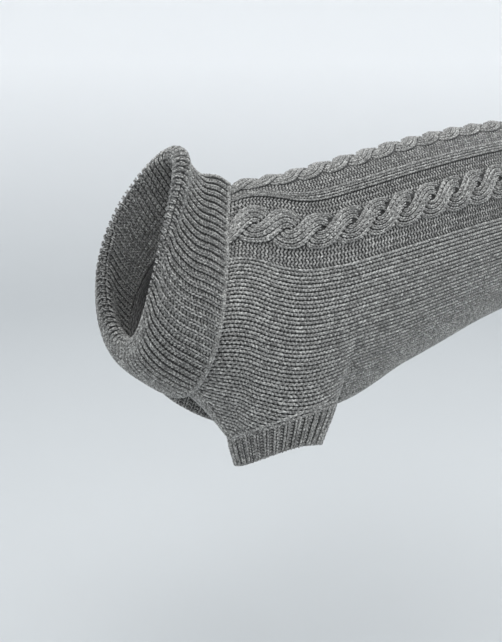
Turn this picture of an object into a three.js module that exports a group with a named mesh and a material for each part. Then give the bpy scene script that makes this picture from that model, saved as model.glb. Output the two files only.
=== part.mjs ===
// A knitted sweater for a dog, as it is worn, with its hollow kept.
// Millimetres. +X runs towards the tail, +Y to the wearer's right, +Z up. The origin is on the nape, just
// behind the turned-over neck, where the back of the sweater rests on its wearer.
import * as THREE from "three";

// The cloth
const WALL = 2.2; // plain knit, outer face to inner face
const RIB_WALL = 2.4; // 1x1 rib, which is thicker
const SEAM_GAP = 0.3; // between two pieces at a seam
const RIB_HEIGHT = 1.3; // a knit rib above the groove beside it
const CABLE_HEIGHT = 3.2; // a cable's strands above the plain knit
const CABLE_LIFT = 1.2; // what a strand gains where it passes over the other
const PURL_DEPTH = 0.5; // the bands beside a cable lie lower than plain knit

// The back's layout, as arc lengths from its own middle line, the same on both sides
const CABLE_HALF = 14;
const CABLE_SPACING = 63.5; // middle cable to side cable
const CROSSING = 21.8; // from one crossing of the strands to the next
const CABLE_START = 7.2; // where the strands first lie side by side, from the neck seam
const PLAIN_RIB_MIDDLE = 33.4; // a narrow rib of two columns between two cables
const PLAIN_RIB_HALF = 5;
const PURL_OUTER = 91.4; // where the purl band outside the side cable ends
const LAYOUT_ROLL = 3; // the whole layout sits a little towards the wearer's left
// Columns of points in one half of a cable, as shares of its half width, and across a narrow rib (its foot,
// the edge of its top and the same again), as shares of the rib's half width
const CABLE_PLACES = [1, 0.66, 0.33];
const PLAIN_RIB_PLACES = [-1.2, -0.75, 0.75, 1.2];
const PLAIN_RIB_TOP = 0.8; // the raised share of the rib's half width
const PURL_PLACE = 0.45; // a column inside the outer purl band
const STRAND_REACH = 0.5; // a strand's furthest middle from the cable's, as a share of the half width
const STRAND_HALF = 0.56; // half a strand's width, as such a share
const BODY_LENGTH = 400; // along the spine, from the neck seam to the hem seam

// The numbers of rows and columns of faces
const BODY_ROWS = 50; // both openings start and end on one of these rows
const BELLY_COLUMNS = 12;
const SIDE_STEPS = 8; // columns between the purl band and the belly seam
const COLLAR_RIBS = 72;
const CUFF_RIBS = 32;
const HEM_RIBS = 56;
const CUFF_ROWS = 4;
const HEM_ROWS = 2;
const INNER_STEP = 2; // a wall's inner face has every second row and column
const RIM_STEPS = 4; // round the collar's fold
const ARC_SAMPLES = 120; // along half a section, to measure its length
const FADE_IN_ROWS = 2; // the cables rise from the neck seam over this many rows
const FADE_OUT_ROWS = 2; // and sink towards the hem seam over this many
const RIB_SHAPE = [0, 0.28, 0.72]; // places of a groove and the two edges of its ridge

const COLOURS = { body: 0x85888a, rib: 0x808386 };

const table = (columns, rows) =>
  rows.map((row) => Object.fromEntries(columns.map((name, i) => [name, row[i]])));

// Closed sections of the body, from the neck seam (at 0) to the hem seam (at 1). Each passes through a top
// point on the spine and a low point under the chest or belly. "side" moves its flanks along X, and "egg"
// and "full" narrow its upper part, as over the withers.
const SECTION_COLUMNS = ["at", "topX", "topZ", "lowX", "lowZ", "half", "side", "egg", "full"];
const BODY = table(SECTION_COLUMNS, [
  [0.0, -24, -5, -80, -121, 47, 0, -0.46, -0.26],
  [0.05, 2.6, 2, -52, -140, 57, -11, -0.4, -0.2],
  [0.1, 22, 4, -33, -152, 62, -9, -0.32, -0.12],
  [0.15, 42, 6.6, -10, -160, 64.5, -7, -0.24, -0.06],
  [0.2, 61, 10.2, 14, -165, 66, -5, -0.18, -0.02],
  [0.25, 81, 14, 40, -167, 66.5, -3, -0.14, 0],
  [0.3, 101, 18, 66, -164.5, 66.5, -2, -0.11, 0],
  [0.35, 120, 22, 91, -159.5, 66.5, -1, -0.1, 0],
  [0.4, 140, 26, 115, -153, 66, 0, -0.09, 0],
  [0.5, 179, 32.5, 160, -138.5, 65, 0, -0.07, 0],
  [0.6, 218, 37.5, 199, -125, 64, 0, -0.05, 0],
  [0.7, 257, 40.5, 235, -115, 62, 0, -0.04, 0],
  [0.8, 297, 41.5, 267, -107, 60.5, 0, -0.03, 0],
  [0.9, 336, 40.5, 295, -102, 59.5, 0, -0.02, 0],
  [1.0, 375, 37, 320, -98, 59, 0, 0, 0],
]);

// How the back's layout narrows towards the neck: as a whole, and by how much its middle part, out to
// DRAWN_OVER, is drawn in towards the spine as well
const DRAWN_OVER = 84;
const LAYOUT_SIZE = table(["at", "share", "draw"], [
  [0.0, 0.63, 10],
  [0.04, 0.69, 12.5],
  [0.085, 0.775, 12],
  [0.115, 0.862, 9.3],
  [0.15, 0.935, 3.8],
  [0.19, 0.98, 0.3],
  [0.25, 1, 0],
  [1.0, 1, 0],
]);

// The collar's outer layer from its free edge to its fold, then its inner layer down to the neck seam
const COLLAR = table(["name", ...SECTION_COLUMNS.slice(1)], [
  ["freeEdge", -9, 2.5, -58, -143.5, 58, -11, -0.46, -0.26],
  ["lower", -19, 7, -70, -135, 57.5, -11.5, -0.42, -0.22],
  ["middle", -32, 8.5, -83, -125, 55, -12, -0.32, -0.15],
  ["upper", -43, 19, -92, -115, 49.5, -12, -0.22, -0.08],
  ["fold", -48, 24, -89, -105, 45, -12, -0.14, -0.04],
  ["inner", -38, 9, -85, -112, 44.5, -7, -0.3, -0.14],
]);
const FOLD_RADIUS = 1.3 * RIB_WALL; // of the collar's middle surface, round its fold
const RIB_SHARES = [0, 0.5, 1, 1, 1, 1, 0.6, 0.3, 0]; // of the rib's height, from the free edge inwards

// Where the belly seam runs, as a share of the half round from spine to belly, along the body
const BELLY_SEAM = table(["at", "turn"], [
  [0.0, 0.82],
  [0.3, 0.82],
  [0.5, 0.85],
  [1.0, 0.86],
]);

// The leg openings. x, y, z is the middle of the opening's ring, along and across are its half sizes, rise
// is its slope towards the tail, lift its slope outwards and bow how much both its outer and its inner side
// curve up. The opening takes up the body's edge from frontAt to rearAt. The last three are how far the
// seam's cut leans down from the opening's plane, in degrees, at its front, its rear and between the legs,
// so that it halves the bend of the cloth there.
const RING_COLUMNS = ["name", "side", "x", "y", "z", "along", "across", "rise", "lift", "bow"];
const LEG_COLUMNS = [...RING_COLUMNS, "frontAt", "rearAt", "leanFront", "leanRear", "leanInner"];
const LEGS = table(LEG_COLUMNS, [
  ["cuff_left", -1, 13, 42, -166, 42, 27, 0.15, 0.42, 0, 0.08, 0.26, 14, 43, 15],
  ["cuff_right", 1, -4, 42, -151, 35, 26, -0.5, 0.2, 0, 0.04, 0.2, 32, 23, 45],
]);
// The cuffs' lower rings
const CUFF_ENDS = table(RING_COLUMNS, [
  ["cuff_left", -1, 9.8, 41, -190.5, 32.7, 24, 0.06, 0.35, 0.2],
  ["cuff_right", 1, -15, 41, -170, 30, 23.5, -0.5, 0.25, 0],
]);
const SEAM_DIP = 0.15; // over an opening the side's own curve ends higher, and hangs straight from there
const PULL_FROM = 0.5; // the share of a side, from the spine, that the openings don't draw
const PULL_LEAD = 0.06; // how far ahead of an opening, along the body, its pull is felt at most
const PULL_TAIL = 0.17; // and how far behind it
const CUFF_GAP = 2 * SEAM_GAP; // measured down the cuff, since the seam's cut leans
const INNER_SEAM = 0.93; // between the legs the belly panel is this narrow, as a share of the half round

// The hem band runs on from the body's last section
const HEM_LENGTH = 22;
const HEM_DRAW = 0.97; // it draws in a little

const TINY = 1e-6;
const mix = (a, b, t) => a + (b - a) * t;
const ease = (t) => t * t * (3 - 2 * t);
const clamp = (t) => Math.min(1, Math.max(0, t));

// A table's row at a place along it: a smooth curve through the values of each column
function rowAt(rows, at) {
  const last = rows.length - 1;
  let i = 0;
  while (i < last - 1 && rows[i + 1].at <= at) i += 1;
  const step = rows[i + 1].at - rows[i].at;
  const t = (at - rows[i].at) / step;
  const slope = (k, name) => {
    const before = rows[Math.max(k - 1, 0)];
    const after = rows[Math.min(k + 1, last)];
    return (after[name] - before[name]) / (after.at - before.at);
  };
  const out = {};
  for (const name of Object.keys(rows[i])) {
    const a = rows[i][name];
    const b = rows[i + 1][name];
    const ma = slope(i, name) * step;
    const mb = slope(i + 1, name) * step;
    const curve = a * (2 * t ** 3 - 3 * t ** 2 + 1) + ma * (t ** 3 - 2 * t ** 2 + t);
    out[name] = curve + b * (3 * t ** 2 - 2 * t ** 3) + mb * (t ** 3 - t ** 2);
  }
  return out;
}

// Half of a closed section, measured along its length: point(turn) with turn 0 at the top point, 1 at the
// low point through the wearer's left, and -1 at the low point through the wearer's right.
function halfRing(section) {
  const points = [];
  const lengths = [0];
  for (let i = 0; i <= ARC_SAMPLES; i += 1) {
    const angle = (Math.PI * i) / ARC_SAMPLES;
    const c = Math.cos(angle);
    const s = Math.sin(angle);
    const x = mix(section.lowX, section.topX, (1 + c) / 2) + section.side * s * s;
    const y = -section.half * s * (1 + section.egg * c + section.full * c * c);
    const z = mix(section.lowZ, section.topZ, (1 + c) / 2);
    points.push(new THREE.Vector3(x, y, z));
    if (i > 0) lengths.push(lengths[i - 1] + points[i].distanceTo(points[i - 1]));
  }
  const total = lengths[ARC_SAMPLES];
  const point = (turn) => {
    const want = Math.min(Math.abs(turn), 1) * total;
    let i = 1;
    while (i < ARC_SAMPLES && lengths[i] < want) i += 1;
    const t = (want - lengths[i - 1]) / (lengths[i] - lengths[i - 1]);
    const found = points[i - 1].clone().lerp(points[i], t);
    if (turn < 0) found.y = -found.y;
    return found;
  };
  return { point, total };
}

// A point of a leg opening's ring: angle 0 at the front, a quarter turn at its outermost
function legPoint(leg, angle) {
  const dx = -leg.along * Math.cos(angle);
  const out = leg.across * Math.sin(angle);
  const z = leg.z + leg.rise * dx + leg.lift * out + (leg.bow * out * out) / leg.across;
  return new THREE.Vector3(leg.x + dx, leg.side * (leg.y + out), z);
}

// The direction, out of the cloth, in which both the panel's end and the cuff's end are cut at an opening,
// so that they stay parallel: halfway between the panel's outward direction and the cuff's.
function openingMitre(leg, angle) {
  const along = new THREE.Vector3(1, 0, leg.rise);
  const across = new THREE.Vector3(0, leg.side, leg.lift);
  const down = along.clone().cross(across).normalize();
  if (down.z > 0) down.negate();
  const radial = along.multiplyScalar(-Math.cos(angle) / leg.along);
  radial.addScaledVector(across, Math.sin(angle) / leg.across).normalize();
  const ends = mix(leg.leanFront, leg.leanRear, (1 - Math.cos(angle)) / 2);
  const share = Math.abs(Math.sin(angle));
  const degrees = mix(ends, Math.sin(angle) > 0 ? 0 : leg.leanInner, share);
  return radial.addScaledVector(down, Math.tan(THREE.MathUtils.degToRad(degrees)));
}

// A value round an opening, straight between the places where the body's rows meet it
function roundOpening(leg, angle, value) {
  const step = Math.PI / Math.round((leg.rearAt - leg.frontAt) * BODY_ROWS);
  const k = Math.floor(angle / step + TINY);
  return value(leg, k * step).lerp(value(leg, (k + 1) * step), angle / step - k);
}

// Straight out from a section's middle, in its own plane: how ends are cut at the other seams
function spoke(section, point) {
  const middle = new THREE.Vector3((section.topX + section.lowX) / 2, 0, (section.topZ + section.lowZ) / 2);
  return point.clone().sub(middle).normalize();
}

// How the body's edge meets a leg opening at a place along the body, for the outer half of the ring (the
// sides) or the inner half (the belly): the belly seam's turn, the turn at which the body's own curve ends,
// and the pull from there to the edge.
function legEdge(leg, at, outer) {
  const seam = rowAt(BELLY_SEAM, at).turn;
  const along = (at - leg.frontAt) / (leg.rearAt - leg.frontAt);
  const near = clamp(along);
  const arch = Math.sin(Math.PI * near) ** 2;
  const turn = outer ? seam - SEAM_DIP * arch : mix(seam, INNER_SEAM, Math.sin(Math.PI * near));
  const anchorAt = mix(leg.frontAt, leg.rearAt, near);
  const angle = Math.PI * near * (outer ? 1 : -1);
  const anchorSeam = rowAt(BELLY_SEAM, anchorAt).turn;
  const anchorTurn = along >= 0 && along <= 1 ? turn : anchorSeam;
  const anchor = halfRing(rowAt(BODY, anchorAt)).point(-leg.side * anchorTurn);
  const pull = legPoint(leg, angle).sub(anchor);
  const lead = Math.min(PULL_LEAD, leg.frontAt);
  if (along < 0) pull.multiplyScalar(ease(clamp(1 - (leg.frontAt - at) / lead)));
  if (along > 1) pull.multiplyScalar(1 - ease(clamp((at - leg.rearAt) / PULL_TAIL)));
  const onRing = along > -TINY && along < 1 + TINY;
  return { seam, turn, pull, mitre: onRing ? openingMitre(leg, angle) : null };
}

// An arc length of the layout as it lies at a place along the body
function laidOut(d, size) {
  return d * size.share - size.draw * Math.sin(Math.PI * Math.min(d / DRAWN_OVER, 1)) ** 2;
}

// Places across the back, as arc lengths from the layout's middle, out to the purl band's outer edge
function backOffsets() {
  const near = CABLE_PLACES.map((k) => -k * CABLE_HALF);
  const far = CABLE_PLACES.map((k) => k * CABLE_HALF).toReversed();
  const rib = PLAIN_RIB_PLACES.map((k) => PLAIN_RIB_MIDDLE + k * PLAIN_RIB_HALF);
  const side = [...near, 0, ...far].map((d) => CABLE_SPACING + d);
  return [0, ...far, ...rib, ...side, mix(side.at(-1), PURL_OUTER, PURL_PLACE), PURL_OUTER];
}

// A rope cable's height over the cloth: s along it and w across it. The strand that crosses from the
// outer side to the inner side is always on top.
function cableHeight(s, w) {
  const phase = (Math.PI * (s - CABLE_START)) / CROSSING;
  const strand = (sign) => {
    const off = (w / CABLE_HALF - sign * STRAND_REACH * Math.cos(phase)) / STRAND_HALF;
    const dome = Math.sqrt(Math.max(0, 1 - off * off));
    return dome * (CABLE_HEIGHT - CABLE_LIFT + sign * CABLE_LIFT * Math.sin(phase));
  };
  return Math.max(strand(1), strand(-1), 0);
}

// The height of the back's knit over plain cloth, from the distance along and the arc length across
function backRelief(along, d) {
  const away = Math.abs(d);
  const cable = away > CABLE_SPACING / 2 ? Math.sign(d) * CABLE_SPACING : 0;
  if (Math.abs(d - cable) < CABLE_HALF) return cableHeight(along, d - cable);
  if (Math.abs(away - PLAIN_RIB_MIDDLE) < PLAIN_RIB_TOP * PLAIN_RIB_HALF) return RIB_HEIGHT;
  return away < PURL_OUTER ? -PURL_DEPTH : 0;
}

// Rows of points for the back panel: its outer face before relief, each point's relief, and the direction
// in which its ends are cut
function backPanel() {
  const offsets = backOffsets();
  const sheet = { rows: [], relief: [], ends: [] };
  for (let i = 0; i <= BODY_ROWS; i += 1) {
    const at = i / BODY_ROWS;
    const row = rowAt(BODY, at);
    const ring = halfRing(row);
    const size = rowAt(LAYOUT_SIZE, at);
    const fade = ease(clamp((i - 1) / FADE_IN_ROWS)) * ease(clamp((BODY_ROWS - i) / FADE_OUT_ROWS));
    const along = at * BODY_LENGTH;
    const halfRow = (leg) => {
      const { seam, turn, pull, mitre } = legEdge(leg, at, true);
      const sign = -leg.side;
      const places = offsets.slice(1).map((d) => (laidOut(d, size) + sign * LAYOUT_ROLL) / ring.total);
      const points = places.map((place, k) => {
        return { place, height: fade * backRelief(along, sign * offsets[k + 1]) };
      });
      for (let k = 1; k <= SIDE_STEPS; k += 1) {
        points.push({ place: mix(places.at(-1), seam, k / SIDE_STEPS), height: 0 });
      }
      for (const point of points) {
        const share = clamp((point.place / seam - PULL_FROM) / (1 - PULL_FROM)) ** 2;
        point.base = ring.point(sign * (point.place + share * (turn - seam)));
        point.base.addScaledVector(pull, share);
      }
      points.at(-1).end = mitre ?? spoke(row, points.at(-1).base);
      return points;
    };
    const middle = { base: ring.point(LAYOUT_ROLL / ring.total), height: fade * backRelief(along, 0) };
    const points = [...halfRow(LEGS[1]).toReversed(), middle, ...halfRow(LEGS[0])];
    const atEnd = i === 0 || i === BODY_ROWS;
    sheet.rows.push(points.map((p) => p.base));
    sheet.relief.push(points.map((p) => p.height));
    sheet.ends.push(points.map((p) => (atEnd ? spoke(row, p.base) : p.end)));
  }
  sheet.rows = trimEdges(sheet.rows, SEAM_GAP / 2);
  return sheet;
}

// Rows of points for the belly panel, from the wearer's right seam to the left one
function bellyPanel() {
  const sheet = { rows: [], relief: [], ends: [] };
  for (let i = 0; i <= BODY_ROWS; i += 1) {
    const at = i / BODY_ROWS;
    const row = rowAt(BODY, at);
    const ring = halfRing(row);
    const edges = { right: legEdge(LEGS[1], at, false), left: legEdge(LEGS[0], at, false) };
    const points = [];
    for (let j = 0; j <= BELLY_COLUMNS; j += 1) {
      const across = (2 * j) / BELLY_COLUMNS - 1;
      const { turn, pull, mitre } = across < 0 ? edges.right : edges.left;
      const base = ring.point(Math.sign(across || 1) * mix(1, turn, Math.abs(across)));
      base.addScaledVector(pull, across * across);
      const atSeam = j === 0 || j === BELLY_COLUMNS;
      const atEnd = i === 0 || i === BODY_ROWS;
      const cut = (atSeam && !atEnd && mitre) || spoke(row, base);
      points.push({ base, end: atSeam || atEnd ? cut : null });
    }
    sheet.rows.push(points.map((p) => p.base));
    sheet.relief.push(points.map(() => 0));
    sheet.ends.push(points.map((p) => p.end));
  }
  sheet.rows = trimEdges(sheet.rows, SEAM_GAP);
  return sheet;
}

// Moves a sheet's border inwards along the sheet, so that two sheets that share a line stand apart there
function trimEdges(rows, trim) {
  const toward = (from, to) => from.clone().addScaledVector(to.clone().sub(from).normalize(), trim);
  const across = rows.map((row) => {
    const out = [...row];
    out[0] = toward(row[0], row[1]);
    out[row.length - 1] = toward(row.at(-1), row.at(-2));
    return out;
  });
  const out = [...across];
  out[0] = across[0].map((p, j) => toward(p, across[1][j]));
  out[rows.length - 1] = across.at(-1).map((p, j) => toward(p, across.at(-2)[j]));
  return out;
}

// The columns of a ribbed tube: for each, the turn round it from the top and the rib's height there
function ribColumns(ribs) {
  const out = [];
  for (let k = 0; k < ribs; k += 1) {
    RIB_SHAPE.forEach((place, i) => out.push({ share: (k + place) / ribs, height: i ? RIB_HEIGHT : 0 }));
  }
  return out;
}

// From a share of the whole round to a signed turn of a half ring
const turnOf = (share) => (share <= 0.5 ? 2 * share : 2 * share - 2);

// Rows of points for the collar's middle surface: the outer layer, the fold, then the inner layer
function collar() {
  const ring = (name) => halfRing(COLLAR.find((row) => row.name === name));
  const neck = halfRing(BODY[0]);
  const outer = ["freeEdge", "lower", "middle", "upper"].map(ring);
  const fold = ring("fold");
  const inner = ring("inner");
  const columns = ribColumns(COLLAR_RIBS);
  const rows = outer.map((half) => columns.map((c) => half.point(turnOf(c.share))));
  for (let k = 0; k <= RIM_STEPS; k += 1) {
    const angle = (Math.PI * k) / RIM_STEPS;
    rows.push(columns.map((c) => {
      const turn = turnOf(c.share);
      const middle = fold.point(turn);
      const back = outer[2].point(turn).sub(middle).normalize();
      const inward = inner.point(turn).sub(outer[2].point(turn));
      inward.addScaledVector(back, -inward.dot(back)).normalize();
      middle.addScaledVector(inward, -FOLD_RADIUS * Math.cos(angle));
      return middle.addScaledVector(back, -FOLD_RADIUS * Math.sin(angle));
    }));
  }
  rows.push(columns.map((c) => inner.point(turnOf(c.share))));
  rows.push(columns.map((c) => {
    const turn = turnOf(c.share);
    const end = neck.point(turn);
    const cloth = spoke(BODY[0], end).multiplyScalar(-WALL / 2);
    return end.addScaledVector(inner.point(turn).sub(end).normalize(), SEAM_GAP / 2).add(cloth);
  }));
  const ends = rows.map(() => []);
  ends[rows.length - 1] = rows.at(-1).map((p) => spoke(BODY[0], p).negate());
  const relief = rows.map((row, i) => columns.map((c) => c.height * (RIB_SHARES[i] ?? 0)));
  return { rows, relief, ends };
}

// Rows of points for a cuff, from the opening's ring down to its lower ring
function cuff(leg) {
  const columns = ribColumns(CUFF_RIBS);
  const low = CUFF_ENDS.find((row) => row.name === leg.name);
  const rows = [];
  const relief = [];
  for (let i = 0; i <= CUFF_ROWS; i += 1) {
    const t = i / CUFF_ROWS;
    rows.push(columns.map((c) => {
      const angle = 2 * Math.PI * c.share;
      const top = roundOpening(leg, angle, legPoint);
      const end = legPoint(low, angle);
      top.addScaledVector(end.clone().sub(top).normalize(), CUFF_GAP);
      return top.lerp(end, t);
    }));
    relief.push(columns.map((c) => (i ? c.height : 0)));
  }
  const ends = rows.map(() => []);
  ends[0] = columns.map((c) => roundOpening(leg, 2 * Math.PI * c.share, openingMitre));
  return { rows, relief, ends };
}

// Rows of points for the hem band, from the body's last section towards the tail
function hemBand() {
  const columns = ribColumns(HEM_RIBS);
  const last = BODY.at(-1);
  const run = new THREE.Vector3(last.topZ - last.lowZ, 0, last.lowX - last.topX).normalize();
  const ring = halfRing(last);
  const middle = new THREE.Vector3(mix(last.topX, last.lowX, 0.5), 0, mix(last.topZ, last.lowZ, 0.5));
  const rows = [];
  const relief = [];
  for (let i = 0; i <= HEM_ROWS; i += 1) {
    const t = i / HEM_ROWS;
    rows.push(columns.map((c) => {
      const point = ring.point(turnOf(c.share)).lerp(middle, t * (1 - HEM_DRAW));
      return point.addScaledVector(run, mix(SEAM_GAP / 2, HEM_LENGTH, t));
    }));
    relief.push(columns.map((c) => (i ? c.height : 0)));
  }
  const ends = rows.map(() => []);
  ends[0] = rows[0].map((p) => spoke(last, p));
  return { rows, relief, ends };
}

// The outward direction at each point of a sheet, from the points round it
function normals(rows, round) {
  const across = rows[0].length;
  const last = rows.length - 1;
  return rows.map((row, i) => row.map((_, j) => {
    const right = round ? (j + 1) % across : Math.min(j + 1, across - 1);
    const left = round ? (j - 1 + across) % across : Math.max(j - 1, 0);
    const u = row[right].clone().sub(row[left]);
    const v = rows[Math.min(i + 1, last)][j].clone().sub(rows[Math.max(i - 1, 0)][j]);
    return u.cross(v).normalize();
  }));
}

// A wall on a sheet of points: the outer face has every point, with its relief, and the plain inner face
// has fewer. "round" joins the first and last columns, "flip" turns the sheet's outside over, and
// outerShare of the thickness lies outside the sheet.
function wall(sheet, thickness, { round = false, flip = false, outerShare = 0 } = {}) {
  const { rows, relief, ends } = sheet;
  const plain = normals(rows, round);
  const out = plain.map((row, i) => row.map((n, j) => ends[i][j] ?? n.multiplyScalar(flip ? -1 : 1)));
  const positions = [];
  const grid = (step, height) => {
    const ids = [];
    for (let i = 0; i < rows.length; i += step) {
      ids.push([]);
      for (let j = 0; j < rows[i].length; j += step) {
        ids.at(-1).push(positions.length / 3);
        positions.push(...rows[i][j].clone().addScaledVector(out[i][j], height(i, j)));
      }
    }
    return ids;
  };
  const outer = grid(1, (i, j) => relief[i][j] + outerShare * thickness);
  const inner = grid(INNER_STEP, () => (outerShare - 1) * thickness);

  const faces = [];
  const triangle = (a, b, c) => faces.push(...(flip ? [a, c, b] : [a, b, c]));
  const skin = (ids, turned) => {
    const columns = ids[0].length;
    for (let i = 0; i + 1 < ids.length; i += 1) {
      for (let j = 0; j < (round ? columns : columns - 1); j += 1) {
        const k = (j + 1) % columns;
        const corners = [ids[i][j], ids[i][k], ids[i + 1][k], ids[i + 1][j]];
        const [a, b, c, d] = turned ? corners.toReversed() : corners;
        triangle(a, b, c);
        triangle(a, c, d);
      }
    }
  };
  // A border strip between a run of outer points and the run of fewer inner points beside it
  const strip = (fine, coarse) => {
    for (let k = 0; k + 1 < coarse.length; k += 1) {
      const start = k * INNER_STEP;
      const half = start + Math.ceil(INNER_STEP / 2);
      triangle(coarse[k], coarse[k + 1], fine[half]);
      for (let m = start; m < start + INNER_STEP; m += 1) {
        triangle(coarse[m < half ? k : k + 1], fine[m + 1], fine[m]);
      }
    }
  };
  const close = (line) => (round ? [...line, line[0]] : line);
  skin(outer, false);
  skin(inner, true);
  strip(close(outer[0]), close(inner[0]));
  strip(close(outer.at(-1)).toReversed(), close(inner.at(-1)).toReversed());
  if (!round) {
    strip(outer.map((row) => row[0]).toReversed(), inner.map((row) => row[0]).toReversed());
    strip(outer.map((row) => row.at(-1)), inner.map((row) => row.at(-1)));
  }
  const geometry = new THREE.BufferGeometry();
  geometry.setAttribute("position", new THREE.Float32BufferAttribute(positions, 3));
  geometry.setIndex(faces);
  geometry.computeVertexNormals();
  return geometry;
}

function piece(name, geometry, colour) {
  const material = new THREE.MeshStandardMaterial({ color: colour, roughness: 0.95, metalness: 0 });
  const mesh = new THREE.Mesh(geometry, material);
  mesh.name = name;
  return mesh;
}

const sweater = new THREE.Group();
sweater.add(piece("back_panel", wall(backPanel(), WALL), COLOURS.body));
sweater.add(piece("belly_panel", wall(bellyPanel(), WALL, { flip: true }), COLOURS.body));
const collarWall = wall(collar(), RIB_WALL, { round: true, flip: true, outerShare: 0.5 });
sweater.add(piece("collar", collarWall, COLOURS.rib));
for (const leg of LEGS) {
  sweater.add(piece(leg.name, wall(cuff(leg), RIB_WALL, { round: true, flip: leg.side < 0 }), COLOURS.rib));
}
sweater.add(piece("hem_band", wall(hemBand(), RIB_WALL, { round: true }), COLOURS.rib));

export default sweater;
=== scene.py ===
# A knitted dog sweater, as it is worn, with its yarn laid on the cloth stitch by stitch.
# The tables are in millimetres, and MM turns them into the scene's metres. +X runs towards the tail, +Y to
# the wearer's right, +Z up. The origin is on the nape, just behind the turned-over neck.
import math

import bpy
import numpy as np
from mathutils import Matrix, Vector


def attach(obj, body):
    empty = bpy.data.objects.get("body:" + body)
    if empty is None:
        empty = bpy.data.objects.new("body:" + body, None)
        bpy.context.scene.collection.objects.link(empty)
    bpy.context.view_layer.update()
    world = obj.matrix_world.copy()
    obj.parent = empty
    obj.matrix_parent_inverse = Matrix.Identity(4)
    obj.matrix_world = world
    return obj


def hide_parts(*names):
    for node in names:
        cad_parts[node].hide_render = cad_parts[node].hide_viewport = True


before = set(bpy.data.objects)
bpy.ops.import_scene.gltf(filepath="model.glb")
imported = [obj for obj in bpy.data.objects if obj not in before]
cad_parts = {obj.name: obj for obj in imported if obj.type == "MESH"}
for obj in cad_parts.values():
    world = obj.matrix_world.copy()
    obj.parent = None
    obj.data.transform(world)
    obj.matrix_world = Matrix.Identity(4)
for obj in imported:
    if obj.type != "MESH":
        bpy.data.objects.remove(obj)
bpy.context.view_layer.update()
MM = 0.001
TINY = 1e-9  # no vector is divided by a length under this

# The cloth
WALL = 2.2  # plain knit, outer face to inner face
RIB_WALL = 2.4  # 1x1 rib, which is thicker
SEAM_GAP = 0.3  # between two pieces at a seam
RIB_HEIGHT = 1.5  # a knit rib above the groove beside it
CABLE_HEIGHT = 3.3  # a cable's strands above the plain knit
CABLE_LIFT = 1.3  # what a strand gains where it passes over the other
PURL_DEPTH = 0.6  # the bands beside a cable lie lower than plain knit
GROUND = 1.3  # the closed ground under the stitches lies this far below the cloth's outer face
STITCH_SINK = 0.35  # and the middles of the stitches this far

# The back's layout, as arc lengths from its own middle line, the same on both sides
CABLE_HALF = 14
CABLE_SPACING = 63.5  # middle cable to side cable
CROSSING = 21.8  # from one crossing of the strands to the next
CABLE_START = 7.2  # where the strands first lie side by side, from the neck seam
STRAND_REACH = 0.52  # a strand's furthest middle from the cable's, as a share of the half width
STRAND_HALF = 0.49  # half a strand's width where the two lie side by side, as such a share
STRAND_SPREAD = 0.45  # how much wider, measured across the cable, a strand is where it crosses aslant
STRAND_COVER = (-1.3, 1.05)  # what the strand on top hides, from its middle, in its own half widths
STRAND_WALES = 4
PLAIN_RIB_MIDDLE = 33.4  # a narrow rib of two wales between two cables
PLAIN_RIB_HALF = 5
PURL_OUTER = 91.4  # where the purl band outside the side cable ends
LAYOUT_ROLL = 3  # the whole layout sits a little towards the wearer's left
BODY_LENGTH = 400  # along the spine, from the neck seam to the hem seam
FADE_IN = (0.005, 0.045)  # the cables rise from the neck seam between these places along the body
FADE_OUT = (0.96, 1.0)  # and sink towards the hem seam between these
SIDE_SPAN = 126  # the plain side, at its widest, from the purl band to the belly seam
SIDE_WALE = 5.7  # the width of its wales
SIDE_EVEN = 0.5  # how far its wales narrow and widen with its length, instead of running out at its edge
SIDE_STEADY = 20  # over how many courses, each way, that length is averaged
SIDE_COLUMNS = 21  # of faces across its ground
BELLY_WALES = 15
COURSES = 165  # rows of stitches along the body
COURSE = BODY_LENGTH / COURSES
BACK_ROWS = 100  # of faces in the ground under the back's stitches
ARC_SAMPLES = 120  # along half a section, to measure its length
SHOULDER = 1.4  # how far the shoulders of a rib and of a purl band reach across
BACK_COLUMNS = 61  # lines of points across half of the back's layout
SIDE_REACH = 1.25  # how far out the side's wales are measured, as a share of its span
SIDE_SAMPLES = 51
LAST_WALES = (-1.4, -0.4, 0.6)  # in wales from the side's edge: its last wale, and one on each side of it
WALE_END = 0.5  # the other wales run out this far before the edge, in wales


def table(columns, rows):
    """Named columns of numbers."""
    return {name: np.array([row[i] for row in rows], float) for i, name in enumerate(columns)}


# The bands of purl stitches on one half of the back: from, to, and how many wales lie between. Beside a
# cable they start under its edge.
PURL_BANDS = ((8.5, 28.4, 4), (38.4, 54.2, 3), (72.9, PURL_OUTER, 4))

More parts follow.
